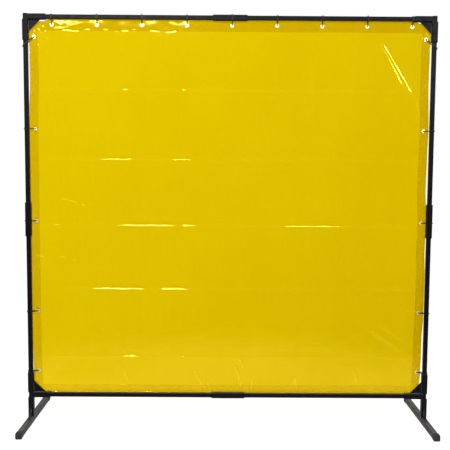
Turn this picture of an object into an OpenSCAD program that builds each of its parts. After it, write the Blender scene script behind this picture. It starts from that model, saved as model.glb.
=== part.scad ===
// Welding curtain screen: a free-standing frame of square tube that slips together, with a
// see-through curtain tied inside it. Millimetres, +Z up, X across the screen, -Y the front.
// The origin is on the floor, midway between the four foot caps.
// The frame knocks down: every tube end sits in a larger sleeve and a spring button locks it.

/* [Frame] */
// Width over the outer faces of the two posts
frame_w = 1838; // [1200:1:2440]
// Length of one post half; two stand end to end in each post
post_half = 914.4; // [600:0.1:1220]
// Side of the square tube of the posts and rails
tube = 19.05; // [16:0.05:25]
// Wall of the square tube
tube_wall = 1.5; // [1:0.1:2]
// Outside corner radius of the square tube
tube_r = 2; // [1.6:0.1:3]

/* [Sleeves and brackets] */
// Side of the larger square tube that slips over the posts and rails
sleeve = 25.4; // [22:0.05:32]
// Outside corner radius of the larger tube
sleeve_r = 3; // [2:0.1:4]
// Gap between a tube and its sleeve, on each side
slip_gap = 0.1; // [0.05:0.01:0.3]
// Length of the sleeve that joins two tube halves
coupler_len = 152.4; // [100:0.1:200]
// Length of a corner bracket's sleeve on the post
bracket_leg = 90; // [60:1:140]
// Length of a corner bracket's arm on the rail
bracket_arm = 80; // [50:1:120]
// Length of both straight edges of a corner gusset
corner_gusset = 51; // [30:1:80]
// Thickness of every gusset plate
plate = 3; // [2:0.5:5]

/* [Feet] */
// Length of a foot over its end caps
foot_len = 545; // [400:1:800]
// How far the posts stand forward of the middle of the feet
post_forward = 42.5; // [0:0.5:100]
// Length of the socket that holds the post
socket_len = 90; // [60:1:140]
// Wall of the foot bar
foot_wall = 2; // [1.5:0.1:3]
// Length of both straight edges of a foot gusset
foot_gusset = 45; // [25:1:60]
// Depth of the rubber cap on the end of a foot
cap_depth = 24; // [15:1:40]
// Wall of the rubber cap
cap_wall = 1.6; // [1:0.1:3]

/* [Spring buttons] */
// Radius of a button
button_r = 3; // [2:0.1:4]
// Clearance round a button in its holes
button_gap = 0.05; // [0.02:0.01:0.1]
// Height of a button above the sleeve
button_out = 1.2; // [0.8:0.1:2]
// Width of the leaf spring behind a button
leaf_w = 8; // [6:0.5:12]
// Thickness of the leaf spring
leaf = 0.8; // [0.5:0.1:1]
// Length of each leg of the leaf spring
leaf_len = 22; // [18:1:40]

/* [Curtain] */
// Width of the curtain
curtain_w = 1778; // [1100:1:2300]
// Height of the curtain
curtain_h = 1705; // [1100:1:2300]
// Thickness of the curtain film
film = 0.5; // [0.3:0.05:1]
// Front face of the curtain, behind the frame's mid-plane
curtain_y = 14.3; // [13.5:0.1:20]
// How far the curtain's top edge is tucked up behind the top rail
curtain_tuck = 9.5; // [0:0.5:20]
// Depth of the hem along the top edge
hem_top = 55; // [25:1:80]
// Depth of the hem along the other edges
hem_side = 38; // [25:1:60]

/* [Grommets and ties] */
// Radius of the hole in a grommet
grommet_hole = 4; // [3:0.1:6]
// Outer radius of a grommet's flange
grommet_r = 8; // [6:0.1:11]
// Thickness of a grommet's flange
flange = 0.6; // [0.4:0.1:1]
// From the curtain's side edge to the grommets along it
hole_in = 13; // [10:1:30]
// From the curtain's top edge to the grommets along it
hole_down = 28; // [12:1:45]
// From the curtain's top edge to the first grommet down a side
first_side_hole = 83; // [60:1:150]
// From the curtain's top edge to the second grommet down a side
second_side_hole = 490; // [300:1:700]
// Distance between the grommets down a side from the second one on
side_pitch = 416; // [250:1:500]
// Number of evenly spaced grommets down a side
side_tie_count = 3; // [2:1:6]
// Distance between ties along the top rail
tie_pitch = 201; // [150:1:300]
// Shift of the row of top ties from the middle of the screen
tie_shift = 9; // [-20:1:20]
// Number of ties along the top rail
top_tie_count = 9; // [5:1:13]
// How far under the top bracket the sloping tie goes round the post
top_loop_drop = 15; // [8:1:40]
// How far above the bottom bracket the lowest tie is
low_tie_rise = 6; // [4:1:40]
// Width of a tie strap
strap_w = 3.6; // [2.5:0.1:5]
// Thickness of a tie strap
strap = 1.1; // [0.8:0.1:1.5]
// Gap between a strap and the tube it goes round
strap_gap = 0.3; // [0.1:0.1:1]

/* [Hidden] */
$fn = 48;
slack = 0.05;                                  // cutters run this far past the face they cut
bore = tube + 2 * slip_gap;                    // inside of a sleeve
post_x = (frame_w - tube) / 2;                 // axis of a post
foot_top = cap_wall + sleeve;                  // top of a foot bar, which the post stands on
post_joint = foot_top + post_half;             // where the two post halves meet
post_top = foot_top + 2 * post_half;
top_rail_z = post_top - sleeve / 2;            // axis of the top rail, level with the post's end
bottom_rail_z = foot_top + socket_len + sleeve / 2;
arm_start = tube / 2 + 0.2;                    // from the post's axis, clear of the post
rail_gap = 0.1;                                // between the two halves of a rail
rail_end = post_x - arm_start - 1;             // a rail stops just inside its arm's outer end

button_face = sleeve / 2 + button_out;         // tip of a button, behind the tube's axis
leaf_gap = 0.025;                              // between the leaf and the tube's wall
leaf_out = tube / 2 - tube_wall - leaf_gap;    // outer face of the leaf, from the tube's axis
button_up = leaf_len * 0.55;                   // from the leaf's bend to its button
half_coupler = coupler_len / 4;                // from the joint to a coupler's button
leg_mid = sleeve / 2 + bracket_leg / 2;        // from the rail's axis to a bracket's post button
arm_mid = arm_start + bracket_arm / 2;         // from the post's axis to a bracket's rail button

foot_button_z = foot_top + (foot_gusset + socket_len) / 2;
low_button_z = bottom_rail_z + leg_mid;
joint_button_z = post_joint + half_coupler;
high_button_z = top_rail_z - leg_mid;
arm_button_x = post_x - arm_mid;

curtain_top = top_rail_z - sleeve / 2 + curtain_tuck;
curtain_bottom = curtain_top - curtain_h;
hem_y = curtain_y + film;
grommet_x = curtain_w / 2 - hole_in;
grommet_z = curtain_top - hole_down;
top_side_hole = curtain_top - first_side_hole;
top_side_loop = top_rail_z - sleeve / 2 - bracket_leg - top_loop_drop;
low_tie_z = bottom_rail_z + sleeve / 2 + bracket_leg + low_tie_rise;
barrel = 0.6;                                  // wall of a grommet's barrel
strap_loose = 1.2;                             // from a grommet's edge to the strap bent round it
strap_bend = 1.5;                              // how far a strap cuts a tube's corner

top_tie_x = [for (i = [0 : top_tie_count - 1]) tie_shift + (i - (top_tie_count - 1) / 2) * tie_pitch];
side_z = [for (i = [0 : side_tie_count - 1]) curtain_top - second_side_hole - i * side_pitch];
side_holes = concat([top_side_hole], side_z, [low_tie_z]);

black = [0.09, 0.09, 0.10];
plastic = [0.06, 0.06, 0.06];
steel = [0.62, 0.63, 0.65];
brass = [0.72, 0.58, 0.28];
yellow = [0.92, 0.80, 0.05, 0.75];

// ---- shared shapes ----

// Everything but the foot bars and their caps is drawn round the plane of the posts, and this moves it there.
module forward() translate([0, -post_forward, 0]) children();

module rounded_square(side, r) {
    flat = side - 2 * r;
    square([flat, side], center = true);
    square([side, flat], center = true);
    for (x = [-1, 1], y = [-1, 1])
        translate([x, y] * flat / 2) circle(r = r);
}

// A square tube standing on z = 0.
module square_tube(side, inside, r, inside_r, length) {
    linear_extrude(height = length) difference() {
        rounded_square(side, r);
        rounded_square(inside, inside_r);
    }
}

module small_tube(length) square_tube(tube, tube - 2 * tube_wall, tube_r, tube_r - tube_wall, length);

module sleeve_tube(length) square_tube(sleeve, bore, sleeve_r, tube_r, length);

// Lays what stands along +Z along +X.
module along_x() rotate([0, 90, 0]) children();

// The round hole that a button comes through, in the back wall at the origin.
module button_hole() {
    rotate([-90, 0, 0]) cylinder(r = button_r + button_gap, h = sleeve);
}

// A right-angled plate in the XZ plane with its tips cut square.
module gusset_plate(side) {
    tip = plate;
    rotate([90, 0, 0]) linear_extrude(height = plate, center = true)
        polygon([[0, 0], [side, 0], [side, -tip], [tip, -side], [0, -side]]);
}

// ---- posts and rails ----

module post_tube(x, z, holes) color(black) difference() {
    translate([x, 0, z]) small_tube(post_half);
    for (h = holes) translate([x, 0, h]) button_hole();
}

module rail_tube(start, z, holes) color(black) difference() {
    translate([start, 0, z]) along_x() small_tube(rail_end - rail_gap / 2);
    for (h = holes) translate([h, 0, z]) button_hole();
}

module left_post_lower() forward() post_tube(-post_x, foot_top, [foot_button_z, low_button_z]);
module right_post_lower() forward() post_tube(post_x, foot_top, [foot_button_z, low_button_z]);
module left_post_upper() forward() post_tube(-post_x, post_joint, [joint_button_z, high_button_z]);
module right_post_upper() forward() post_tube(post_x, post_joint, [joint_button_z, high_button_z]);

module top_rail_left() forward() rail_tube(-rail_end, top_rail_z, [-arm_button_x]);
module top_rail_right() forward() rail_tube(rail_gap / 2, top_rail_z, [half_coupler, arm_button_x]);
module bottom_rail_left() forward() rail_tube(-rail_end, bottom_rail_z, [-arm_button_x]);
module bottom_rail_right() forward() rail_tube(rail_gap / 2, bottom_rail_z, [half_coupler, arm_button_x]);

// A coupler is fixed to one tube half and locks to the other with a button.
module post_coupler(x) color(black) difference() {
    translate([x, 0, post_joint - coupler_len / 2]) sleeve_tube(coupler_len);
    translate([x, 0, joint_button_z]) button_hole();
}

module rail_coupler(z) color(black) difference() {
    translate([-coupler_len / 2, 0, z]) along_x() sleeve_tube(coupler_len);
    translate([half_coupler, 0, z]) button_hole();
}

module left_post_coupler() forward() post_coupler(-post_x);
module right_post_coupler() forward() post_coupler(post_x);
module top_rail_coupler() forward() rail_coupler(top_rail_z);
module bottom_rail_coupler() forward() rail_coupler(bottom_rail_z);

// ---- corner brackets ----

// Draws the top left corner's shapes at any corner: side is -1 left or 1 right, end is 1 top or -1 bottom.
module at_corner(side, end) {
    translate([side * post_x, 0, end > 0 ? top_rail_z : bottom_rail_z])
        mirror([side > 0 ? 1 : 0, 0, 0]) mirror([0, 0, end < 0 ? 1 : 0]) children();
}

module bracket_sleeve(side, end) color(black) at_corner(side, end) difference() {
    translate([0, 0, -sleeve / 2 - bracket_leg]) sleeve_tube(bracket_leg);
    translate([0, 0, -leg_mid]) button_hole();
}

module bracket_arm(side, end) color(black) at_corner(side, end) difference() {
    translate([arm_start, 0, 0]) along_x() sleeve_tube(bracket_arm);
    translate([arm_mid, 0, 0]) button_hole();
}

module bracket_gusset(side, end) color(black) at_corner(side, end)
    translate([sleeve / 2, 0, -sleeve / 2]) gusset_plate(corner_gusset);

module top_left_bracket_sleeve() forward() bracket_sleeve(-1, 1);
module top_right_bracket_sleeve() forward() bracket_sleeve(1, 1);
module bottom_left_bracket_sleeve() forward() bracket_sleeve(-1, -1);
module bottom_right_bracket_sleeve() forward() bracket_sleeve(1, -1);
module top_left_bracket_arm() forward() bracket_arm(-1, 1);
module top_right_bracket_arm() forward() bracket_arm(1, 1);
module bottom_left_bracket_arm() forward() bracket_arm(-1, -1);
module bottom_right_bracket_arm() forward() bracket_arm(1, -1);
module top_left_bracket_gusset() forward() bracket_gusset(-1, 1);
module top_right_bracket_gusset() forward() bracket_gusset(1, 1);
module bottom_left_bracket_gusset() forward() bracket_gusset(-1, -1);
module bottom_right_bracket_gusset() forward() bracket_gusset(1, -1);

// ---- feet ----

module foot_bar(side) color(black)
    translate([side * post_x, foot_len / 2 - cap_wall, cap_wall + sleeve / 2]) rotate([90, 0, 0])
        square_tube(sleeve, sleeve - 2 * foot_wall, sleeve_r, sleeve_r - foot_wall, foot_len - 2 * cap_wall);

module foot_socket(side) color(black) difference() {
    translate([side * post_x, 0, foot_top]) sleeve_tube(socket_len);
    translate([side * post_x, 0, foot_button_z]) button_hole();
}

// Two plates brace the socket, one in front of it and one behind.
module foot_gussets(side) color(black)
    for (turn = [-90, 90])
        translate([side * post_x, 0, foot_top]) rotate([0, 0, turn]) mirror([0, 0, 1])
            translate([sleeve / 2, 0, 0]) gusset_plate(foot_gusset);

// A rubber cap closes each end of a foot; end is -1 front or 1 back.
module foot_cap(side, end) color(plastic) {
    outside = sleeve + 2 * cap_wall;
    inner_depth = cap_depth - cap_wall;
    translate([side * post_x, end * (foot_len / 2 - cap_depth / 2), outside / 2])
        rotate([end * -90, 0, 0]) difference() {
            translate([0, 0, -cap_depth / 2]) linear_extrude(height = cap_depth)
                rounded_square(outside, sleeve_r + cap_wall);
            translate([0, 0, -cap_depth / 2 - slack]) linear_extrude(height = inner_depth + slack)
                rounded_square(sleeve, sleeve_r);
        }
}

module left_foot_bar() foot_bar(-1);
module right_foot_bar() foot_bar(1);
module left_foot_socket() forward() foot_socket(-1);
module right_foot_socket() forward() foot_socket(1);
module left_foot_gussets() forward() foot_gussets(-1);
module right_foot_gussets() forward() foot_gussets(1);
module left_front_foot_cap() foot_cap(-1, -1);
module left_rear_foot_cap() foot_cap(-1, 1);
module right_front_foot_cap() foot_cap(1, -1);
module right_rear_foot_cap() foot_cap(1, 1);

// A push-in plug closes the open top of a post.
module post_plug(side) color(plastic) translate([side * post_x, 0, post_top]) {
    neck_gap = 0.05;
    neck = tube - 2 * (tube_wall + neck_gap);
    neck_depth = 12;
    linear_extrude(height = cap_wall) rounded_square(tube, tube_r);
    translate([0, 0, -neck_depth])
        square_tube(neck, neck - 2 * cap_wall, tube_r - tube_wall, tube_r - tube_wall, neck_depth);
}

module left_post_plug() forward() post_plug(-1);
module right_post_plug() forward() post_plug(1);

// ---- curtain ----

// The places of the grommets, which are also the holes in the curtain.
module at_top_holes() for (x = top_tie_x) translate([x, 0, grommet_z]) children();
module at_side_holes(side) for (z = side_holes) translate([side * grommet_x, 0, z]) children();

module curtain_holes() {
    for (side = [-1, 1]) at_side_holes(side) barrel_hole();
    at_top_holes() barrel_hole();
}

module barrel_hole() rotate([-90, 0, 0]) cylinder(r = grommet_hole + barrel, h = sleeve);

module curtain_panel() forward() color(yellow) difference() {
    translate([-curtain_w / 2, curtain_y, curtain_bottom]) cube([curtain_w, film, curtain_h]);
    curtain_holes();
}

// The folded-over edge behind the curtain, one piece all the way round.
module curtain_hem() forward() color(yellow) difference() {
    translate([-curtain_w / 2, hem_y, curtain_bottom]) cube([curtain_w, film, curtain_h]);
    translate([-curtain_w / 2 + hem_side, hem_y - slack, curtain_bottom + hem_side])
        cube([curtain_w - 2 * hem_side, film + 2 * slack, curtain_h - hem_top - hem_side]);
    curtain_holes();
}

// A two-part grommet pressed shut: a barrel through the hem with a flange on each face.
module grommet() color(brass) {
    front = curtain_y - flange;
    back = hem_y + film + flange;
    rotate([-90, 0, 0]) rotate_extrude() {
        translate([grommet_hole, front]) square([barrel, back - front]);
        translate([grommet_hole, front]) square([grommet_r - grommet_hole, flange]);
        translate([grommet_hole, back - flange]) square([grommet_r - grommet_hole, flange]);
    }
}

module top_grommets() forward() at_top_holes() grommet();
module left_grommets() forward() at_side_holes(-1) grommet();
module right_grommets() forward() at_side_holes(1) grommet();

// ---- ties ----

// The closed outline of a strap, in the plane of its loop. The first number runs from the tube's axis
// towards the grommet, the second from front to back. half is half the tube along the first, depth is half
// of it along the second, reach is how far off the grommet is, edge is how far off the curtain's edge is,
// and grow is 0 for the inside of the loop and the strap's thickness for the outside.
function strap_outline(half, depth, reach, edge, grow) =
    let (near = half + strap_gap + grow, side = depth + strap_gap + grow,
         front = curtain_y - flange - strap_loose - grow,
         back = hem_y + film + flange + strap_loose + grow,
         tip = reach + strap_loose + grow,
         in_grommet = [[tip - 1, front], [tip, curtain_y - 1], [tip, hem_y + 1]],
         past_edge = [[tip - 2, back], [edge - 1.5 - grow / 2, back]],
         behind_tube = edge > near ? [[near, side + 1], [near - 2, side]] : [],
         round_tube = [[-near + strap_bend, side], [-near, side - strap_bend], [-near, strap_bend - side],
                       [-near + strap_bend, -side], [near - strap_bend, -side], [near, strap_bend - side]])
    concat(in_grommet, past_edge, behind_tube, round_tube);

// A tie round a tube: the loop lies in the XY plane, its grommet towards +X and its head on the far side.
module tie(half, depth, reach, edge) color(plastic) {
    head = [3.4, 4.2, 5.4];
    sunk = 0.4;
    far = half + strap_gap + strap;
    linear_extrude(height = strap_w, center = true) difference() {
        polygon(strap_outline(half, depth, reach, edge, strap));
        polygon(strap_outline(half, depth, reach, edge, 0));
    }
    translate([sunk - far - head[0], -head[1] / 2, -head[2] / 2]) cube(head);
}

// Half the side of what a tie goes round, this far from a coupler's middle.
function tied_half(from_joint) = abs(from_joint) < coupler_len / 2 ? sleeve / 2 : tube / 2;

module top_ties() forward() for (x = top_tie_x) {
    half = tied_half(x);
    translate([x, 0, top_rail_z]) rotate([0, 90, 0])
        tie(half, half, top_rail_z - grommet_z, top_rail_z - curtain_top);
}

module side_ties(side) {
    reach = post_x - grommet_x;
    edge = post_x - curtain_w / 2;
    sloping_tie(side, reach, edge);
    for (z = concat(side_z, [low_tie_z])) {
        half = tied_half(z - post_joint);
        translate([side * post_x, 0, z]) mirror([side > 0 ? 1 : 0, 0, 0]) tie(half, half, reach, edge);
    }
}

// The uppermost tie slopes up to its grommet, because the bracket keeps its loop low.
module sloping_tie(side, reach, edge) {
    slope = atan((top_side_hole - top_side_loop) / reach);
    half = (tube / 2 + strap_w / 2 * sin(slope)) / cos(slope);
    translate([side * post_x, 0, top_side_loop]) mirror([side > 0 ? 1 : 0, 0, 0]) rotate([0, -slope, 0])
        tie(half, tube / 2, reach / cos(slope), edge / cos(slope));
}

module left_ties() forward() side_ties(-1);
module right_ties() forward() side_ties(1);

// ---- spring buttons ----

// A button with the leg of the spring that carries it. The tube runs along Z and the button points to +Y.
module button() color(steel) {
    chamfer = 0.8;
    bend_gap = 0.3;
    root = leaf_out - slack;
    shoulder = button_face - chamfer;
    translate([-leaf_w / 2, leaf_out - leaf, -leaf_len + button_up])
        cube([leaf_w, leaf, leaf_len - bend_gap]);
    rotate([-90, 0, 0]) {
        translate([0, 0, root]) cylinder(r = button_r, h = shoulder - root);
        translate([0, 0, shoulder]) cylinder(r1 = button_r, r2 = button_r - chamfer, h = chamfer);
    }
}

// The rest of the spring: the bend, and the leg that leans on the tube's front wall.
module spring() color(steel) {
    translate([-leaf_w / 2, -leaf_out, -leaf_len + button_up]) cube([leaf_w, leaf, leaf_len]);
    translate([0, 0, button_up]) rotate([0, 90, 0]) linear_extrude(height = leaf_w, center = true)
        difference() {
            circle(r = leaf_out);
            circle(r = leaf_out - leaf);
            translate([0, -leaf_out - slack]) square(2 * (leaf_out + slack));
        }
}

module in_post(x, z) translate([x, 0, z]) children();
module in_rail(x, z) translate([x, 0, z]) along_x() children();

module left_foot_button() forward() in_post(-post_x, foot_button_z) button();
module right_foot_button() forward() in_post(post_x, foot_button_z) button();
module bottom_left_post_button() forward() in_post(-post_x, low_button_z) button();
module bottom_right_post_button() forward() in_post(post_x, low_button_z) button();
module left_joint_button() forward() in_post(-post_x, joint_button_z) button();
module right_joint_button() forward() in_post(post_x, joint_button_z) button();
module top_left_post_button() forward() in_post(-post_x, high_button_z) button();
module top_right_post_button() forward() in_post(post_x, high_button_z) button();
module top_left_rail_button() forward() in_rail(-arm_button_x, top_rail_z) button();
module top_right_rail_button() forward() in_rail(arm_button_x, top_rail_z) button();
module bottom_left_rail_button() forward() in_rail(-arm_button_x, bottom_rail_z) button();
module bottom_right_rail_button() forward() in_rail(arm_button_x, bottom_rail_z) button();
module top_joint_button() forward() in_rail(half_coupler, top_rail_z) button();
module bottom_joint_button() forward() in_rail(half_coupler, bottom_rail_z) button();

module button_springs() forward() {
    for (x = [-post_x, post_x], z = [foot_button_z, low_button_z, joint_button_z, high_button_z])
        in_post(x, z) spring();
    for (x = [-arm_button_x, half_coupler, arm_button_x], z = [bottom_rail_z, top_rail_z])
        in_rail(x, z) spring();
}

// ---- the list of nodes and the switch that draws them ----

// Part to draw

left_post_lower();
left_post_upper();
right_post_lower();
right_post_upper();
left_post_coupler();
right_post_coupler();
top_rail_left();
top_rail_right();
bottom_rail_left();
bottom_rail_right();
top_rail_coupler();
bottom_rail_coupler();
top_left_bracket_sleeve();
top_right_bracket_sleeve();
bottom_left_bracket_sleeve();
bottom_right_bracket_sleeve();
top_left_bracket_arm();
top_right_bracket_arm();
bottom_left_bracket_arm();
bottom_right_bracket_arm();
top_left_bracket_gusset();
top_right_bracket_gusset();
bottom_left_bracket_gusset();
bottom_right_bracket_gusset();
left_foot_bar();
right_foot_bar();
left_foot_socket();
right_foot_socket();
left_foot_gussets();
right_foot_gussets();
left_front_foot_cap();
left_rear_foot_cap();
right_front_foot_cap();
right_rear_foot_cap();
left_post_plug();
right_post_plug();
curtain_panel();
curtain_hem();
top_grommets();
left_grommets();
right_grommets();
top_ties();
left_ties();
right_ties();
left_foot_button();
right_foot_button();
bottom_left_post_button();
bottom_right_post_button();
left_joint_button();
right_joint_button();
top_left_post_button();
top_right_post_button();
top_left_rail_button();
top_right_rail_button();
bottom_left_rail_button();
bottom_right_rail_button();
top_joint_button();
bottom_joint_button();
button_springs();
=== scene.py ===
"""A welding curtain screen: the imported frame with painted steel, rubber and brass finishes, a see-through
vinyl curtain tied inside it, and the weld beads that hold its brackets and feet together. Metres, +Z up, -Y
the front."""

import math

import bmesh
import bpy
import numpy as np
from mathutils import Matrix, Vector


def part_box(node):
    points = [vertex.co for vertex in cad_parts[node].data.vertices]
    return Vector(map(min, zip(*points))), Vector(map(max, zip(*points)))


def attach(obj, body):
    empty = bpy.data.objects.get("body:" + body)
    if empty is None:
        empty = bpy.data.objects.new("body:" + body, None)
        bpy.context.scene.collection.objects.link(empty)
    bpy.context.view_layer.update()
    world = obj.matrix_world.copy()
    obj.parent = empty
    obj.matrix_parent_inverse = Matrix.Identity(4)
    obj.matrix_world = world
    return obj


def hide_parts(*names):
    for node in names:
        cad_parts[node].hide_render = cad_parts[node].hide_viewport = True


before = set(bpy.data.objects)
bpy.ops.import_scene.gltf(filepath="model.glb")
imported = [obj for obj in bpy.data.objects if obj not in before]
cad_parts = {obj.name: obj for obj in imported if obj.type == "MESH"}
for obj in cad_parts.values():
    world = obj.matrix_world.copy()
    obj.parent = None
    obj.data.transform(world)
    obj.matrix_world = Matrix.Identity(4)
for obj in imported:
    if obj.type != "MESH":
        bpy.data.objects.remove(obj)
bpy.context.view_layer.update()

MM = 0.001
BODY = "screen"

# ---- where things are, from the frame ----

panel_low, panel_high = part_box("curtain_panel")
half_width = panel_high.x
top_edge = panel_high.z
bottom_edge = panel_low.z
film_thickness = panel_high.y - panel_low.y
rail_low, rail_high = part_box("top_rail_left")
post_plane = (rail_low.y + rail_high.y) / 2
HEM_TOP = 55 * MM
HEM_SIDE = 38 * MM
GROMMET_SIZE = 20 * MM


def centres(node):
    """The (x, z) middles of the grommets in a node. Points nearer than a grommet is wide are in one."""
    groups = []
    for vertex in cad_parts[node].data.vertices:
        point = Vector((vertex.co.x, vertex.co.z))
        near = [g for g in groups if (g[0] - point).length < GROMMET_SIZE]
        if near:
            near[0].append(point)
        else:
            groups.append([point])
    middles = []
    for group in groups:
        xs = [p.x for p in group]
        zs = [p.y for p in group]
        middles.append(((min(xs) + max(xs)) / 2, (min(zs) + max(zs)) / 2))
    return sorted(middles)


top_holes = centres("top_grommets")
all_holes = top_holes + centres("left_grommets") + centres("right_grommets")

# ---- materials ----


class Tree:
    """A new material, and short names for the nodes that it is made from."""

    def __init__(self, name):
        self.material = bpy.data.materials.new(name)
        self.material.use_nodes = True
        self.nodes = self.material.node_tree.nodes
        self.links = self.material.node_tree.links
        self.nodes.clear()
        self.output = self.nodes.new("ShaderNodeOutputMaterial")

    def add(self, kind, **values):
        """A node with some of its inputs set: a socket to link, or a value."""
        node = self.nodes.new("ShaderNode" + kind)
        for key, value in values.items():
            self.put(node, key.replace("_", " "), value)
        return node

    def put(self, node, key, value):
        """Sets one input of a node: a link from a socket, or a value."""
        socket = node.inputs[key]
        if isinstance(value, bpy.types.NodeSocket):
            self.links.new(value, socket)
        else:
            socket.default_value = value

    def position(self):
        return self.add("TexCoord").outputs["Object"]

    def noise(self, scale, detail, roughness=0.5, vector=None):
        vector = vector or self.position()
        node = self.add("TexNoise", Vector=vector, Scale=scale, Detail=detail, Roughness=roughness)
        return node.outputs["Fac"]

    def axis(self, vector, letter):
        """The X, Y or Z of a vector."""
        return self.add("SeparateXYZ", Vector=vector).outputs[letter]

    def stretched(self, x, y, z):
        """The object's position, scaled along each axis."""
        return self.add("Mapping", Vector=self.position(), Scale=(x, y, z)).outputs["Vector"]

    def spread(self, value, low, high, to_low=0.0, to_high=1.0):
        """The value, moved from the range low to high to the range to_low to to_high, and kept inside it."""
        node = self.nodes.new("ShaderNodeMapRange")
        self.put(node, "Value", value)
        for key, number in (("From Min", low), ("From Max", high), ("To Min", to_low), ("To Max", to_high)):
            node.inputs[key].default_value = number
        return node.outputs["Result"]

    def math(self, kind, a, b):
        node = self.nodes.new("ShaderNodeMath")
        node.operation = kind
        self.put(node, 0, a)
        self.put(node, 1, b)
        return node.outputs[0]

    def mix(self, share, a, b):
        """A colour share of the way from a to b."""
        node = self.nodes.new("ShaderNodeMix")
        node.data_type = "RGBA"
        self.put(node, "Factor", share)
        for key, value in (("A", a), ("B", b)):
            socket = [s for s in node.inputs if s.name == key and s.type == "RGBA"][0]
            if isinstance(value, bpy.types.NodeSocket):
                self.links.new(value, socket)
            else:
                socket.default_value = (*value, 1)
        return [s for s in node.outputs if s.type == "RGBA"][0]

    def bump(self, height, distance, strength, normal=None):
        """A bumped normal. normal is what it starts from, where that isn't the mesh's own."""
        node = self.add("Bump", Height=height, Distance=distance, Strength=strength)
        if normal is not None:
            self.put(node, "Normal", normal)
        return node.outputs["Normal"]

    def edges(self, radius):
        """1 within radius of an edge of the mesh, 0 away from it."""
        bevel = self.nodes.new("ShaderNodeBevel")
        bevel.samples = 6
        bevel.inputs["Radius"].default_value = radius
        flat = self.nodes.new("ShaderNodeNewGeometry")
        dot = self.nodes.new("ShaderNodeVectorMath")
        dot.operation = "DOT_PRODUCT"
        self.put(dot, 0, bevel.outputs["Normal"])
        self.put(dot, 1, flat.outputs["True Normal"])
        return self.spread(dot.outputs["Value"], 0.995, 0.9)

    def join(self, share, a, b):
        """A shader share of the way from a to b."""
        node = self.add("MixShader", Fac=share)
        self.links.new(a.outputs[0], node.inputs[1])
        self.links.new(b.outputs[0], node.inputs[2])
        return node

    def principled(self, **values):
        return self.add("BsdfPrincipled", **values)

    def done(self, shader):
        """The finished material, with this shader node on its surface."""
        self.links.new(shader.outputs[0], self.output.inputs["Surface"])
        return self.material


def powder_coat():
    """Satin black powder coat: orange peel, paler edges that are partly rubbed coat and partly a painted
    highlight, and dust settled on what faces up."""
    deep_black, soft_black = (0.0022, 0.002, 0.0036), (0.0046, 0.0042, 0.0068)
    rubbed_and_highlight_colour = (0.022, 0.021, 0.026)
    speck_colour, dust_colour = (0.05, 0.048, 0.05), (0.063, 0.057, 0.05)
    t = Tree("powder_coat")
    # Paler edges: partly rubbed coat, partly a painted highlight along them.
    rubbed = t.math("MULTIPLY", t.edges(1.2 * MM), t.spread(t.noise(90, 4), 0.45, 0.7))
    base = t.mix(t.noise(11, 5, 0.6), deep_black, soft_black)
    specks = t.spread(t.noise(260, 4, 0.7), 0.6, 0.85, 0.0, 0.12)
    upward = t.spread(t.axis(t.add("NewGeometry").outputs["Normal"], "Z"), 0.6, 0.95)
    settled = t.math("MULTIPLY", upward, t.spread(t.noise(35, 4, 0.6), 0.3, 0.7, 0.5, 1.0))
    dusty = t.mix(settled, t.mix(specks, base, speck_colour), dust_colour)
    colour = t.mix(rubbed, dusty, rubbed_and_highlight_colour)
    rough = t.spread(t.noise(38, 4), 0.3, 0.7, 0.36, 0.52)
    peel = t.bump(t.noise(520, 2), 0.12 * MM, 0.35)
    shader = t.principled(Base_Color=colour, Roughness=rough, Normal=peel)
    shader.inputs["Specular IOR Level"].default_value = 0.07
    return t.done(shader)


def rubber():
    """Matt moulded rubber, scuffed paler along its edges."""
    t = Tree("foot_rubber")
    scuffed = t.math("MULTIPLY", t.edges(1.5 * MM), t.spread(t.noise(120, 5), 0.4, 0.75))
    colour = t.mix(scuffed, (0.012, 0.012, 0.012), (0.07, 0.068, 0.064))
    rough = t.spread(t.noise(70, 4), 0.3, 0.7, 0.62, 0.85)
    grain = t.bump(t.noise(900, 3), 0.15 * MM, 0.5)
    shader = t.principled(Base_Color=colour, Roughness=rough, Normal=grain)
    shader.inputs["Specular IOR Level"].default_value = 0.3
    return t.done(shader)


def moulded_plastic(name, tone, low_rough, high_rough, ribs=None):
    """Black moulded plastic with a fine grain and paler edges. ribs is the scale of its ribs, if any."""
    t = Tree(name)
    rubbed = t.math("MULTIPLY", t.edges(0.5 * MM), t.noise(150, 3))
    colour = t.mix(rubbed, tone, tuple(4 * c for c in tone))
    rough = t.spread(t.noise(200, 3), 0.3, 0.7, low_rough, high_rough)
    normal = t.bump(t.noise(700, 2), 0.1 * MM, 0.4)
    if ribs:
        wave = t.add("TexWave", Vector=t.position(), Scale=ribs)
        normal = t.bump(wave.outputs["Fac"], 0.1 * MM, 0.3, normal)
    shader = t.principled(Base_Color=colour, Roughness=rough, Normal=normal)
    shader.inputs["Specular IOR Level"].default_value = 0.2
    return t.done(shader)


def metal(name, light, dark, low_rough, high_rough, bare=1.0):
    """Plated or pressed sheet metal with fine scratches and a little tarnish. bare is how metallic it is."""
    t = Tree(name)
    tarnish = t.spread(t.noise(160, 5, 0.6), 0.45, 0.75)
    colour = t.mix(tarnish, light, dark)
    rough = t.spread(t.noise(300, 4), 0.3, 0.7, low_rough, high_rough)
    scratches = t.bump(t.noise(60, 4, 0.6, t.stretched(1, 30, 12)), 0.05 * MM, 0.4)
    shader = t.principled(Base_Color=colour, Roughness=rough, Normal=scratches)
    shader.inputs["Metallic"].default_value = bare
    return t.done(shader)


def weld_metal():
    """A painted-over weld bead: shinier than the tube, with the heat's brown where the paint is thin."""
    t = Tree("weld_paint")
    thin = t.spread(t.noise(240, 4), 0.5, 0.72)
    colour = t.mix(thin, (0.02, 0.02, 0.024), (0.16, 0.145, 0.12))
    rough = t.spread(t.noise(300, 3), 0.3, 0.7, 0.28, 0.5)
    normal = t.bump(t.noise(420, 3), 0.2 * MM, 0.5)
    shader = t.principled(Base_Color=colour, Roughness=rough, Normal=normal)
    return t.done(shader)


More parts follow.
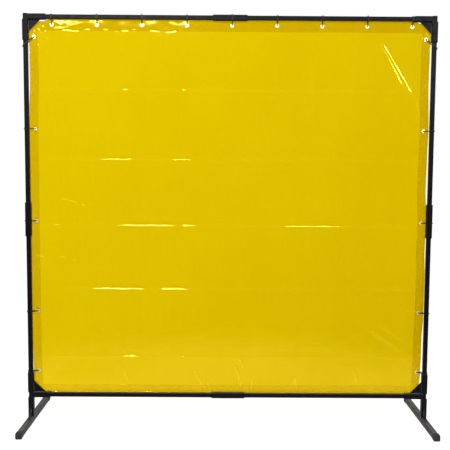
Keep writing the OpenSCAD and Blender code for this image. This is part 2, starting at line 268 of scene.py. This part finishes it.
REFRACTION = 1.42
PAINTED_LIGHT_TINT = (0.99, 0.98, 0.85)
WHITENED_AND_HIGHLIT_DYE = (1.0, 0.9, 0.14)
GLOSS_COLOUR = (1, 0.94, 0.2, 1)


def vinyl(name, clear, painted_shade_tint, dye, solid, painted_light_below=0):
    """See-through vinyl film. Each face lets through the colour clear, or painted_shade_tint low down and to
    the
    right: a painted shade that stands in for the light falling off away from the upper left. solid is the
    share of the light that the dye scatters, and on top is the film's own gloss. A crease has whitened the
    film a little, so it scatters more there, and its paler colour there is also a painted highlight. Below
    the height painted_light_below it is paler, a painted light for the light that the bottom hem scatters.
    Light inside the film meets its faces from the dense side, so the refraction is turned over there."""
    t = Tree(name)
    crease_whitening_and_highlight = t.add("Attribute")
    crease_whitening_and_highlight.attribute_name = "crease_whitening_and_highlight"
    creased_and_highlit = t.math("MULTIPLY", crease_whitening_and_highlight.outputs["Fac"], t.spread(t.noise(45, 4), 0.3, 0.65, 0.35, 1.0))
    ripple = t.bump(t.noise(7, 2, 0.4), 0.6 * MM, 0.3)
    normal = t.bump(t.noise(48, 2, 0.5, t.stretched(1, 1, 1.6)), 0.012 * MM, 0.3, ripple)
    place = t.position()
    # Painted shade: the colour runs from clear at the upper left to painted_shade_tint at the lower right,
    # with some random unevenness.
    across = t.math("SUBTRACT", t.axis(place, "Z"), t.axis(place, "X"))
    painted_falloff = t.math("ADD", across, t.spread(t.noise(2.6, 3, 0.5), 0.3, 0.7, -0.3, 0.3))
    tint = t.mix(t.spread(painted_falloff, -0.5, 2.4), painted_shade_tint, clear)
    # Painted light: below painted_light_below the film turns paler, standing in for the light that the bottom
    # hem scatters.
    if painted_light_below:
        painted_light_share = t.spread(t.axis(place, "Z"), painted_light_below + 4 * MM, painted_light_below - 4 * MM)
        tint = t.mix(painted_light_share, tint, PAINTED_LIGHT_TINT)
    through = t.add("BsdfTransparent", Color=tint)
    # Painted highlight: along creases and folds the scattered colour turns paler, partly the film's
    # whitening.
    shade = t.mix(creased_and_highlit, dye, WHITENED_AND_HIGHLIT_DYE)
    scatter = t.add("BsdfDiffuse", Color=shade, Normal=normal)
    glow = t.add("BsdfTranslucent", Color=shade, Normal=normal)
    body = t.join(0.6, scatter, glow)
    streaks = t.noise(7, 5, 0.6, t.stretched(1.5, 1, 0.3))
    haze = t.spread(streaks, 0.3, 0.7, solid * 0.8, solid * 1.2)
    dyed = t.join(t.math("ADD", haze, t.math("MULTIPLY", creased_and_highlit, 0.5)), through, body)
    rough = t.spread(t.noise(30, 3), 0.3, 0.7, 0.05, 0.1)
    gloss = t.add("BsdfGlossy", Color=GLOSS_COLOUR, Roughness=rough, Normal=normal)
    inside = t.add("NewGeometry").outputs["Backfacing"]
    index = t.spread(inside, 0, 1, REFRACTION, 1 / REFRACTION)
    fresnel = t.add("Fresnel", IOR=index, Normal=normal)
    return t.done(t.join(fresnel.outputs[0], dyed, gloss))


FINISHES = {
    "powder": powder_coat(),
    "rubber": rubber(),
    "plug": moulded_plastic("plug_plastic", (0.012, 0.012, 0.013), 0.35, 0.5),
    "nylon": moulded_plastic("tie_nylon", (0.005, 0.005, 0.006), 0.34, 0.46, ribs=380),
    "brass": metal("grommet_brass", (0.82, 0.73, 0.5), (0.66, 0.53, 0.3), 0.28, 0.45, 0.5),
    "steel": metal("spring_steel", (0.66, 0.67, 0.7), (0.42, 0.43, 0.45), 0.2, 0.38),
    "weld": weld_metal(),
    # The second colour of each film is painted shade, used low down and to the right.
    "film": vinyl("curtain_film", (0.886, 0.764, 0.0), (0.796, 0.669, 0.0), (0.9, 0.7, 0.0), 0.15),
    # The hem's last value is the height below which painted light makes it paler.
    "hem": vinyl("curtain_hem_film", (0.935, 0.915, 0.5), (0.925, 0.9, 0.5), (0.85, 0.66, 0.0), 0.09,
                 bottom_edge + HEM_SIDE),
}


# The finish of the CAD nodes whose names end like this. The others are powder coated.
NODE_ENDINGS = (("foot_cap", "rubber"), ("plug", "plug"), ("ties", "nylon"), ("grommets", "brass"),
                ("button", "steel"), ("springs", "steel"))


def finish_of(name):
    """The finish of a CAD node, by what it is called."""
    for ending, finish in NODE_ENDINGS:
        if name.endswith(ending):
            return FINISHES[finish]
    return FINISHES["powder"]


for name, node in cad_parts.items():
    for slot in node.material_slots:
        slot.material = finish_of(name)

# ---- the curtain's shape ----


def waves(x, z, length, seed):
    """Smooth seeded waviness of about -1 to 1, whose humps are about length across."""
    count = 7
    rng = np.random.default_rng(seed)
    total = np.zeros_like(x)
    for _ in range(count):
        angle = rng.uniform(0, math.pi)
        size = length * rng.uniform(0.7, 1.6)
        phase = rng.uniform(0, 2 * math.pi)
        total += np.sin(2 * math.pi * (x * math.cos(angle) + z * math.sin(angle)) / size + phase)
    return total / math.sqrt(count)


def ease(value, start, end):
    """0 up to start, 1 from end, smooth between."""
    t = np.clip((value - start) / (end - start), 0, 1)
    return t * t * (3 - 2 * t)


# The curtain was folded flat to be packed, and each fold is still a low ridge across it. Each is its share of
# the way down, its height where it is sharp, and the stretches where it is: start, end and strength. Heights
# and places here and in the lists below are in millimetres.
PACKING_FOLDS = (
    (0.184, 0.33, ((-490, -462, 1.0), (-215, -190, 1.0))),
    (0.367, 0.54, ((-590, -430, 0.8), (-270, -165, 0.8), (52, 76, 1.0))),
    (0.543, 0.77, ((-507, -250, 1.0), (-225, -137, 0.97), (-829, -762, 1.0), (252, 578, 1.16))),
    (0.7145, 0.99, ((-628, -391, 1.0), (-315, -177, 0.96), (770, 840, 1.12))),
    (0.9, 1.24, ((-494, -410, 0.97), (-372, -350, 1.0), (-225, -195, 0.97), (54, 74, 1.1),
                 (332, 354, 1.1))),
)
# A fold's width, how sharp it is outside its stretches, and how far a stretch takes to begin or end. The film
# is bent on both sides of a fold: how deep, and how far from the fold.
FOLD_WIDTH = 2.6 * MM
FOLD_BLUNT = 0.15
FOLD_FADE = 8 * MM
FOLD_BEND = 0.8 * MM
BEND_REACH = 26 * MM


def fold_height(share):
    """How high a packing fold is that is this share of the way down."""
    return top_edge - share * (top_edge - bottom_edge)


# Short creases: x and z of both ends, from the middle of the top edge, then height and width.
CREASES = (
    (671, -95, 779, -303, 1.35, 4.6), (679, -95, 837, -362, 1.2, 4.6), (837, -362, 850, -430, 1.1, 4.6),
    (399, -76, 393, -120, 0.6, 5), (391, -145, 363, -326, 0.6, 5), (168, -55, 108, -110, 0.6, 5),
    (-862, -64, -876, -38, 0.7, 4.5), (-858, -130, -876, -98, 0.75, 4.5), (-850, -122, -866, -92, 0.7, 4.5),
    (-872, -76, -884, -56, 0.7, 4), (-880, -112, -868, -126, 0.9, 4.5), (-866, -78, -874, -100, 0.8, 4),
    (-832, -26, -818, -68, 0.65, 4.5), (-813, -88, -811, -142, 0.6, 4.5), (-852, -44, -840, -70, 0.65, 4.5),
    (-846, -100, -838, -160, 0.5, 4.5), (-800, -26, -790, -10, 0.6, 4), (-798, -16, -770, -34, 0.55, 4),
    (-780, -14, -756, -32, 0.5, 4), (-794, -40, -742, -47, 0.45, 4), (-764, -48, -655, -18, 0.4, 4),
    (-800, -30, -772, -46, 0.5, 4), (-745, -20, -700, -36, 0.45, 4), (-782, -46, -766, -60, 0.55, 4),
    (-735, -40, -690, -30, 0.4, 4), (-712, -22, -690, -14, 0.4, 4), (-292, -12, -270, -27, 0.5, 4),
    (-262, -10, -240, -26, 0.5, 4), (-172, -20, -150, -38, 0.5, 4), (-146, -22, -118, -40, 0.5, 4),
    (36, -20, 80, -26, 0.45, 4), (-15, -42, 0, -52, 0.6, 4), (300, -60, 306, -90, 0.6, 5),
    (380, -36, 392, -44, 0.6, 4), (-762, -802, -720, -816, 1.9, 4.6), (-728, -812, -686, -826, 1.9, 4.6),
    (-672, -830, -656, -834, 1.9, 4.6), (-866, -1068, -832, -1070, 2.3, 4.6),
    (-772, -1068, -750, -1074, 2.3, 4.6), (-716, -1088, -702, -1092, 2.3, 4.6),
    (-154, -1600, -112, -1690, 1.8, 8), (36, -1580, 62, -1690, 1.8, 8),
    (52, -1545, 70, -1590, 1.8, 7), (109, -1640, 112, -1690, 1.6, 7), (310, -1630, 322, -1690, 1.8, 8),
    (-490, -1590, -440, -1690, 1.6, 8), (-100, -1640, -86, -1690, 1.6, 7), (587, -1605, 603, -1670, 1.8, 8),
    (-482, -300, -470, -318, 0.7, 5), (-208, -300, -196, -318, 0.7, 5), (816, -1310, 860, -1314, 2.0, 5),
    (655, -1400, 790, -1500, 1.0, 9), (700, -1395, 800, -1440, 0.9, 9),
)


def crease(x, z, x0, z0, x1, z1, width):
    """A tent-shaped ridge of height 1 that winds along the line between two points and fades at its ends."""
    along = Vector((x1 - x0, z1 - z0))
    length = along.length
    along /= length
    run = (x - x0) * along.x + (z - z0) * along.y
    off = (z - z0) * along.x - (x - x0) * along.y
    winding = 0.3 * width * np.sin(run / length * 5.0 + x0 * 40)
    ends = ease(run, -0.1 * length, 0.1 * length) * (1 - ease(run, 0.8 * length, 1.1 * length))
    return ends * np.maximum(0, 1 - np.abs((off + winding) / width))


def creases(x, z):
    """How far all the short creases stand out."""
    total = np.zeros_like(x)
    for x0, z0, x1, z1, height, width in CREASES:
        ends = (x0 * MM, top_edge + z0 * MM, x1 * MM, top_edge + z1 * MM)
        total += height * MM * crease(x, z, *ends, width * MM)
    return total


def off_holes(x, z, start, end):
    """0 up to start from every grommet and 1 from end, because the ties hold the film there."""
    free = np.ones_like(x)
    for hole in all_holes:
        free *= ease(np.hypot(x - hole[0], z - hole[1]), start, end)
    return free


# The folds that the ties pull into the top hem: how far each sags between two ties, its height and its width.
HEM_FOLDS = ((23, 0.75, 2.8), (10, 0.5, 2.6), (36, 0.5, 3.5))
PULLED_UP_TO = -250 * MM
SLACK_FROM = -150 * MM


def hem_folds(x, z):
    """Broken folds that hang in shallow arcs from tie to tie along the top hem, faint towards the right."""
    total = np.zeros_like(x)
    stops = [-half_width] + [h[0] for h in top_holes] + [half_width]
    line = top_holes[0][1] - 2 * MM
    rng = np.random.default_rng(5)
    for a, b in zip(stops, stops[1:]):
        t = np.clip((x - a) / (b - a), 0, 1)
        arc = 4 * t * (1 - t)
        inside = (x >= a) & (x < b)
        for sag, height, width in HEM_FOLDS:
            sway = rng.uniform(0.8, 1.2)
            wobble = 1.6 * MM * np.sin(2 * math.pi * t * rng.uniform(2.2, 3.6) + rng.uniform(0, 6))
            at = line - sag * MM * sway * arc + wobble * arc
            ridge = np.exp(-np.abs((z - at) / (width * MM)) ** 1.4)
            broken = np.clip(0.1 + 2.6 * waves(x, z, 0.045, 80 + sag), 0, 1.1)
            total += inside * height * MM * rng.uniform(0.5, 1.2) * ridge * np.sqrt(arc) * broken
    return total * (1 - 0.75 * ease(x, PULLED_UP_TO, SLACK_FROM))


def packing_folds(x, z):
    """The ridges of the packing folds: sharp in stretches, and elsewhere only a soft change of slope."""
    total = np.zeros_like(x)
    for i, (share, height, stretches) in enumerate(PACKING_FOLDS):
        off = np.abs(z - fold_height(share))
        sharp = np.zeros_like(x)
        for start, end, strength in stretches:
            begun = ease(x, start * MM - FOLD_FADE, start * MM + FOLD_FADE)
            ended = ease(x, end * MM - FOLD_FADE, end * MM + FOLD_FADE)
            sharp = np.maximum(sharp, begun * (1 - ended) * strength)
        sharp *= 1 + 0.07 * waves(x, 0 * z, 0.04, 40 + i)
        sharp = np.maximum(sharp, FOLD_BLUNT)
        total -= height * MM * sharp * np.maximum(0, 1 - off / FOLD_WIDTH)
        bend = 0.6 + 0.4 * waves(x, 0 * z, 0.4, 60 + i)
        total -= FOLD_BEND * bend * np.exp(-off / BEND_REACH)
    return total


# How far each side edge is drawn in (+) or let out (-) up its length: height over the floor, then how far.
LEFT_EDGE = ((135, -8), (238, -11), (300, -12), (380, -13), (518, -14), (934, -14), (1350, -14), (1430, -12),
             (1560, -8), (1700, -8), (1757, -12), (1840, -10))
RIGHT_EDGE = ((135, 2), (238, -4), (327, -6), (396, -6), (488, -11), (672, -12), (810, -9), (934, -12),
              (1086, -5), (1224, -7), (1350, -10), (1560, -5), (1690, -6), (1757, -9), (1840, -6))
SHIFT_REACH = 140 * MM
CORNER_DROOP = 14 * MM
DROOP_REACH = 70 * MM


def edge_shift(x, z, side, profile):
    """How far a side edge is moved along X by its profile, fading out into the curtain."""
    shift = np.zeros_like(x)
    for (low, here), (high, after) in zip(profile, profile[1:]):
        t = ease(z, low * MM, high * MM)
        shift += np.where((z > low * MM) & (z <= high * MM), here + (after - here) * t, 0) * MM
    return -side * shift * ease(side * x, half_width - SHIFT_REACH, half_width)


def corner_droop(x, z, side, last_hole):
    """How far the top edge sags outside the last tie on a side."""
    outside = ease(side * x, side * last_hole + 6 * MM, side * last_hole + 30 * MM)
    return -CORNER_DROOP * outside * ease(z, top_edge - DROOP_REACH, top_edge)


# How the whole film hangs: how far it bellies back, how far inside its edges that starts and is full, how
# wide the loose edge is, how far inside the folds are full, and the furthest that any of it comes forward.
BILLOW = 3 * MM
BILLOW_START = 10 * MM
BILLOW_FULL = 190 * MM
LOOSE_EDGE = 30 * MM
FOLDS_FULL = 40 * MM
FURTHEST_FORWARD = -1.0 * MM


def hung(x, z):
    """Where the flat film's points (x, z) are once it hangs: new x, how far it is pushed back, and new z."""
    inward = np.minimum(half_width - np.abs(x), np.minimum(top_edge - z, z - bottom_edge))
    billow = BILLOW + 1.9 * MM * waves(x, z, 0.9, 1) + 0.3 * MM * waves(x, z, 0.35, 2)
    edge_flop = (1 - ease(inward, 0, LOOSE_EDGE)) * (0.4 * MM + 0.8 * MM * waves(x, z, 0.11, 4))
    small = 0.08 * MM * waves(x, z, 0.09, 3)
    back = ease(inward, BILLOW_START, BILLOW_FULL) * billow + edge_flop + small + hem_folds(x, z)
    back += packing_folds(x, z) * ease(inward, 0, FOLDS_FULL) - creases(x, z)
    back = np.maximum(back * off_holes(x, z, 9 * MM, 34 * MM), FURTHEST_FORWARD)
    loose = off_holes(x, z, 8 * MM, 14 * MM)
    new_x = x + (edge_shift(x, z, -1, LEFT_EDGE) + edge_shift(x, z, 1, RIGHT_EDGE)) * loose
    droop = corner_droop(x, z, -1, top_holes[0][0]) + corner_droop(x, z, 1, top_holes[-1][0])
    return new_x, back, z + droop * loose


# How much a fold is whitened, partly as a painted highlight, how far from it that reaches, and the height of
# a crease that is fully white.
FOLD_WHITE = 0.15
WHITE_REACH = 3 * MM
WHITE_HEIGHT = 3.5 * MM


def whitening_and_highlight(x, z):
    """How much the film is made paler at each point, from 0 to 1, along its creases and folds: partly its
    whitening and partly a painted highlight.
    """
    folds = np.zeros_like(x)
    for share, _, _ in PACKING_FOLDS:
        folds += FOLD_WHITE * np.exp(-np.abs(z - fold_height(share)) / WHITE_REACH)
    return np.clip(creases(x, z) / WHITE_HEIGHT + folds, 0, 1)


# ---- the curtain's mesh ----

# The widest spacing of the grid's lines and the closest, and each grommet's cell: how far it reaches from the
# hole's middle, and the round hole in it.
CELL = 8.5 * MM
SAME_LINE = 0.3 * MM
HOLE_CELL = 7.2 * MM
HOLE_SIDES = 20
HOLE_RADIUS = 4.6 * MM
# Where the grid is finer, in millimetres. FOLD_ROWS are rows from the middle of each packing fold. The others
# are stretches for the small creases: start, end and spacing, with the rows counted from the top edge.
FOLD_ROWS = (-7, -2.7, -2.2, -1.3, -0.5, 0, 0.5, 1.3, 2.2, 2.7, 7)
FINE_ROWS = ((-140, 0, 2.6), (-430, -140, 3.6), (-850, -798, 2.6), (-1096, -1062, 2.6))
FINE_COLUMNS = ((-889, -690, 4), (660, 855, 3.6))


def grid_lines(stops):
    """Grid lines through every stop, no further apart than a cell. Stops almost in one place become one."""
    stops = sorted(stops)
    stops = [a for a, b in zip(stops, stops[1:] + [math.inf]) if b - a > SAME_LINE]
    made = [stops[0]]
    for a, b in zip(stops, stops[1:]):
        count = max(1, math.ceil((b - a) / CELL))
        made += [a + (b - a) * (i + 1) / count for i in range(count)]
    return made


def film_grid():
    """The columns and rows of the film's grid: its edges, its hems, its folds and creases, and each grommet's
    cell."""
    xs = [-half_width, half_width, -half_width + HEM_SIDE, half_width - HEM_SIDE]
    zs = [bottom_edge, top_edge, bottom_edge + HEM_SIDE, top_edge - HEM_TOP]
    for share, _, _ in PACKING_FOLDS:
        zs += [fold_height(share) + row * MM for row in FOLD_ROWS]
    for start, end, step in FINE_ROWS:
        zs += list(np.arange(top_edge + start * MM, top_edge + end * MM, step * MM))
    for start, end, step in FINE_COLUMNS:
        xs += list(np.arange(start * MM, end * MM, step * MM))
    for hole in all_holes:
        xs += [hole[0] - HOLE_CELL, hole[0] + HOLE_CELL]
        zs += [hole[1] - HOLE_CELL, hole[1] + HOLE_CELL]
    return grid_lines(xs), grid_lines(zs)


def film_cells(xs, zs, keep):
    """The grid cells that keep(x, z) says, as the numbers of their corners: the whole ones, and those at each
    grommet."""
    whole = []
    holed = {}
    across = len(xs)
    for row in range(len(zs) - 1):
        for column in range(across - 1):
            x = (xs[column] + xs[column + 1]) / 2
            z = (zs[row] + zs[row + 1]) / 2
            if not keep(x, z):
                continue
            first = row * across + column
            corners = [first, first + 1, first + 1 + across, first + across]
            holes = [h for h in all_holes if abs(h[0] - x) < HOLE_CELL and abs(h[1] - z) < HOLE_CELL]
            if holes:
                holed.setdefault(holes[0], []).append(corners)
            else:
                whole.append(corners)
    return whole, holed


def fill_round(bm, made, flat, cells, ring, hole):
    """Joins the outline of a hole's cells to the ring round the hole."""
    sides = set()
    for corners in cells:
        for a, b in zip(corners, corners[1:] + corners[:1]):
            if (b, a) in sides:
                sides.remove((b, a))
            else:
                sides.add((a, b))
    turn_of = {}
    for i in {corner for pair in sides for corner in pair}:
        turn_of[i] = math.atan2(flat[i][1] - hole[1], flat[i][0] - hole[0])
    outline = sorted(turn_of, key=turn_of.get)
    for k, corner in enumerate(outline):
        after = outline[(k + 1) % len(outline)]
        end_turn = turn_of[after] + (2 * math.pi if k == len(outline) - 1 else 0)
        first = math.ceil(turn_of[corner] / (2 * math.pi) * HOLE_SIDES - 0.5)
        last = math.ceil(end_turn / (2 * math.pi) * HOLE_SIDES - 0.5)
        inner = [ring[n % HOLE_SIDES] for n in range(first, last + 1)]
        bm.faces.new([made[corner], made[after]] + [made[i] for i in reversed(inner)])


def smooth_mesh(name, bm):
    """A smooth mesh made from a bmesh, which is used up."""
    bmesh.ops.recalc_face_normals(bm, faces=bm.faces)
    mesh = bpy.data.meshes.new(name)
    bm.to_mesh(mesh)
    bm.free()
    for face in mesh.polygons:
        face.use_smooth = True
    return mesh


def film_mesh(name, keep, lift):
    """A sheet of film over the cells that keep(x, z) says, with a round hole at each grommet. lift is how far
    the sheet is behind the curtain's front face."""
    xs, zs = film_grid()
    flat = np.array([(x, z) for z in zs for x in xs])
    rings = {}
    turns = np.arange(HOLE_SIDES) * 2 * math.pi / HOLE_SIDES
    for hole in all_holes:
        ring = np.stack([hole[0] + HOLE_RADIUS * np.cos(turns), hole[1] + HOLE_RADIUS * np.sin(turns)], 1)
        rings[hole] = len(flat) + np.arange(HOLE_SIDES)
        flat = np.concatenate([flat, ring])
    x, back, z = hung(flat[:, 0], flat[:, 1])
    bm = bmesh.new()
    made = [bm.verts.new(p) for p in zip(x, panel_low.y + lift + back, z)]
    whole, holed = film_cells(xs, zs, keep)
    for corners in whole:
        bm.faces.new([made[i] for i in corners])
    for hole, cells in holed.items():
        fill_round(bm, made, flat, cells, rings[hole], hole)
    bmesh.ops.delete(bm, geom=[v for v in bm.verts if not v.link_faces], context="VERTS")
    used = np.array([vertex.is_valid for vertex in made])
    mesh = smooth_mesh(name, bm)
    # The paler crease and fold lines: partly whitening, partly painted highlight.
    crease_whitening_and_highlight = mesh.attributes.new("crease_whitening_and_highlight", "FLOAT", "POINT")
    crease_whitening_and_highlight.data.foreach_set("value", whitening_and_highlight(flat[used, 0], flat[used, 1]).astype(np.float32))
    return mesh


def add_piece(name, mesh, finish):
    """A Blender object with this mesh that moves with the screen's body."""
    piece = bpy.data.objects.new(name, mesh)
    bpy.context.scene.collection.objects.link(piece)
    piece.data.materials.append(FINISHES[finish])
    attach(piece, BODY)
    return piece


def add_film(name, keep, lift, finish):
    """A hanging sheet of film, almost as thick as in CAD, so that two sheets that touch there don't meet."""
    sheet = add_piece(name, film_mesh(name, keep, lift), finish)
    solid = sheet.modifiers.new("thickness", "SOLIDIFY")
    solid.thickness = film_thickness * 0.9
    solid.offset = 0
    return sheet


def in_hem(x, z):
    """Whether a point of the curtain is in the hem at its top, sides or bottom."""
    side = abs(x) > half_width - HEM_SIDE
    return side or z > top_edge - HEM_TOP or z < bottom_edge + HEM_SIDE


curtain = add_film("curtain", lambda x, z: True, film_thickness / 2, "film")
hem = add_film("folded_hem", in_hem, film_thickness * 1.5, "hem")
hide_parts("curtain_panel")
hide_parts("curtain_hem")

# ---- weld beads ----

# Each kind of bead is its radius and the distance between its ripples.
GUSSET_BEAD = (1.7 * MM, 2.6 * MM)
ARM_BEAD = (1.8 * MM, 2.2 * MM)
SOCKET_BEAD = (2 * MM, 3 * MM)
PLATE_BEAD = (1.6 * MM, 2.6 * MM)
BEAD_SIDES = 10
RINGS_PER_RIPPLE = 5


def bead(bm, start, end, radius, pitch):
    """A rippled weld bead from start to end, rounded off at both ends."""
    start, end = Vector(start), Vector(end)
    along = end - start
    length = along.length
    along.normalize()
    side = along.orthogonal().normalized()
    up = along.cross(side)
    steps = max(6, round(length / (pitch / RINGS_PER_RIPPLE)))
    rings = []
    for i in range(steps + 1):
        run = length * i / steps
        tip = min(1, min(run, length - run) / radius)
        rounded = math.sqrt(max(0.04, tip * (2 - tip)))
        ripple = 1 + 0.14 * abs(math.sin(math.pi * run / pitch)) - 0.06 * math.sin(run * 700)
        ring = []
        for k in range(BEAD_SIDES):
            turn = 2 * math.pi * k / BEAD_SIDES
            outward = side * math.cos(turn) + up * math.sin(turn)
            ring.append(bm.verts.new(start + along * run + outward * radius * rounded * ripple))
        rings.append(ring)
    for a, b in zip(rings, rings[1:]):
        for k in range(BEAD_SIDES):
            after = (k + 1) % BEAD_SIDES
            bm.faces.new([a[k], a[after], b[after], b[k]])
    bm.faces.new(list(reversed(rings[0])))
    bm.faces.new(rings[-1])


def add_beads(name, runs):
    """One piece made of beads, each (start, end, (radius, pitch))."""
    bm = bmesh.new()
    for start, end, size in runs:
        bead(bm, start, end, *size)
    add_piece(name, smooth_mesh(name, bm), "weld")


def corner_runs(end, side):
    """The beads of one corner bracket: both edges of its gusset, and where its arm meets its sleeve."""
    prefix = f"{end}_{side}_bracket_"
    low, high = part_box(prefix + "gusset")
    arm_low, arm_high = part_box(prefix + "arm")
    out = 1 if side == "left" else -1
    at_x = low.x if side == "left" else high.x
    at_z = high.z if end == "top" else low.z
    down = -1 if end == "top" else 1
    begin = 3 * MM
    reach = (high.x - low.x) - 4 * MM
    proud = 0.3 * MM
    runs = []
    for y in (low.y - proud, high.y + proud):
        runs.append(((at_x, y, at_z + down * begin), (at_x, y, at_z + down * reach), GUSSET_BEAD))
        runs.append(((at_x + out * begin, y, at_z), (at_x + out * reach, y, at_z), GUSSET_BEAD))
    inset = 1.5 * MM
    for y in (arm_low.y + inset, arm_high.y - inset):
        runs.append(((at_x - out * 3.5 * MM, y, at_z), (at_x + out * 1.0 * MM, y, at_z), ARM_BEAD))
    return runs


def foot_runs(side):
    """The beads of one foot: round the socket's bottom and along its two gussets."""
    low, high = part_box(f"{side}_foot_socket")
    plate_low, plate_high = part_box(f"{side}_foot_gussets")
    inset = 3 * MM
    z = low.z
    runs = []
    for y in (low.y, high.y):
        runs.append(((low.x + inset, y, z), (high.x - inset, y, z), SOCKET_BEAD))
    for x in (low.x, high.x):
        edge = x - math.copysign(1.0 * MM, x - (low.x + high.x) / 2)
        runs.append(((edge, low.y + inset, z), (edge, high.y - inset, z), SOCKET_BEAD))
    for x in (plate_low.x, plate_high.x):
        for edge, tip in ((low.y, plate_low.y), (high.y, plate_high.y)):
            away = math.copysign(1, tip - edge)
            runs.append(((x, edge + away * 2 * MM, z), (x, tip - away * 4 * MM, z), PLATE_BEAD))
            runs.append(((x, edge, z + 3 * MM), (x, edge, plate_high.z - 4 * MM), PLATE_BEAD))
    return runs


for end in ("top", "bottom"):
    for side in ("left", "right"):
        add_beads(f"{end}_{side}_bracket_welds", corner_runs(end, side))
for side in ("left", "right"):
    add_beads(f"{side}_foot_welds", foot_runs(side))

# ---- floor, light and camera ----

FLOOR_HALF = 2
FLOOR_GLOW = 0.76
FLOOR_FADE = (1.1, 1.9)


def add_floor():
    """A plain pale floor with a very fine grain, which glows a little and fades into the white round it."""
    t = Tree("floor")
    grain = t.mix(t.noise(3, 4), (0.27, 0.27, 0.27), (0.3, 0.3, 0.3))
    normal = t.bump(t.noise(40, 3), 0.2 * MM, 0.1)
    shader = t.principled(Base_Color=grain, Normal=normal)
    shader.inputs["Roughness"].default_value = 0.85
    shader.inputs["Specular IOR Level"].default_value = 0.1
    shader.inputs["Emission Color"].default_value = (1, 1, 1, 1)
    shader.inputs["Emission Strength"].default_value = FLOOR_GLOW
    distance = t.nodes.new("ShaderNodeVectorMath")
    distance.operation = "LENGTH"
    t.put(distance, 0, t.position())
    faded = t.spread(distance.outputs["Value"], *FLOOR_FADE)
    material = t.done(t.join(faded, shader, t.add("BsdfTransparent")))
    mesh = bpy.data.meshes.new("floor")
    corners = [(FLOOR_HALF * x, FLOOR_HALF * y, 0) for x, y in ((-1, -1), (1, -1), (1, 1), (-1, 1))]
    mesh.from_pydata(corners, [], [(0, 1, 2, 3)])
    mesh.materials.append(material)
    floor = bpy.data.objects.new("floor", mesh)
    bpy.context.scene.collection.objects.link(floor)


def add_softbox(name, place, aim, width, height, watts):
    """A soft white light of this width and height, aimed from place at aim."""
    light = bpy.data.lights.new(name, "AREA")
    light.shape = "RECTANGLE"
    light.size, light.size_y = width, height
    light.energy = watts
    lamp = bpy.data.objects.new(name, light)
    lamp.location = place
    lamp.rotation_euler = (Vector(aim) - Vector(place)).to_track_quat("-Z", "Y").to_euler()
    bpy.context.scene.collection.objects.link(lamp)


def add_surroundings():
    """White for the camera. All other light comes from a room that is bright behind the screen and dim in
    front."""
    world = bpy.data.worlds.new("studio")
    world.use_nodes = True
    nodes, links = world.node_tree.nodes, world.node_tree.links
    nodes.clear()
    output = nodes.new("ShaderNodeOutputWorld")
    direction = nodes.new("ShaderNodeTexCoord")
    split = nodes.new("ShaderNodeSeparateXYZ")
    links.new(direction.outputs["Generated"], split.inputs[0])
    level = nodes.new("ShaderNodeMapRange")
    for key, value in (("From Min", -0.35), ("From Max", 0.5), ("To Min", 0.05), ("To Max", 0.95)):
        level.inputs[key].default_value = value
    links.new(split.outputs["Y"], level.inputs["Value"])
    room = nodes.new("ShaderNodeBackground")
    links.new(level.outputs["Result"], room.inputs["Strength"])
    room.inputs["Color"].default_value = (1, 1, 1, 1)
    white = nodes.new("ShaderNodeBackground")
    white.inputs["Color"].default_value = (1, 1, 1, 1)
    ray = nodes.new("ShaderNodeLightPath")
    choose = nodes.new("ShaderNodeMixShader")
    links.new(ray.outputs["Is Camera Ray"], choose.inputs["Fac"])
    links.new(room.outputs[0], choose.inputs[1])
    links.new(white.outputs[0], choose.inputs[2])
    links.new(choose.outputs[0], output.inputs["Surface"])
    bpy.context.scene.world = world


def add_camera(place, pan, tilt, roll, lens):
    """A camera panned left, tilted down and rolled, in degrees, from looking straight along +Y."""
    pan, tilt, roll = (math.radians(a) for a in (pan, tilt, roll))
    data = bpy.data.cameras.new("camera")
    data.lens = lens
    data.sensor_width = 36
    camera = bpy.data.objects.new("camera", data)
    turn_z = Matrix.Rotation(pan, 3, "Z")
    turn_x = Matrix.Rotation(-tilt, 3, "X")
    turn_y = Matrix.Rotation(-roll, 3, "Y")
    look_ahead = Matrix.Rotation(math.pi / 2, 3, "X")
    camera.matrix_world = Matrix.Translation(place) @ (turn_z @ turn_x @ turn_y @ look_ahead).to_4x4()
    bpy.context.scene.collection.objects.link(camera)
    bpy.context.scene.camera = camera


# Name, place, what it is aimed at, width, height and watts.
SOFTBOXES = (
    ("key", (-0.97, -3.4, 2.7), (-0.4, 0, 1.2), 1.2, 0.26, 125),
    ("far_key", (0.85, -3.4, 3.1), (0.2, 0, 1.2), 0.6, 0.28, 28),
    ("kicker", (2.2, -3.2, 2.4), (0.5, 0, 1.3), 0.35, 0.35, 58),
    ("overhead", (0, -0.4, 4.2), (0, -0.1, 0), 3.6, 3.0, 125),
)

add_floor()
add_surroundings()
for softbox in SOFTBOXES:
    add_softbox(*softbox)
# Where the photographed frame's corners put the camera.
add_camera(place=(-0.031, post_plane - 3.396, 1.215), pan=-0.223, tilt=4.955, roll=0.36, lens=60.0)

bpy.context.scene.view_settings.view_transform = "Standard"
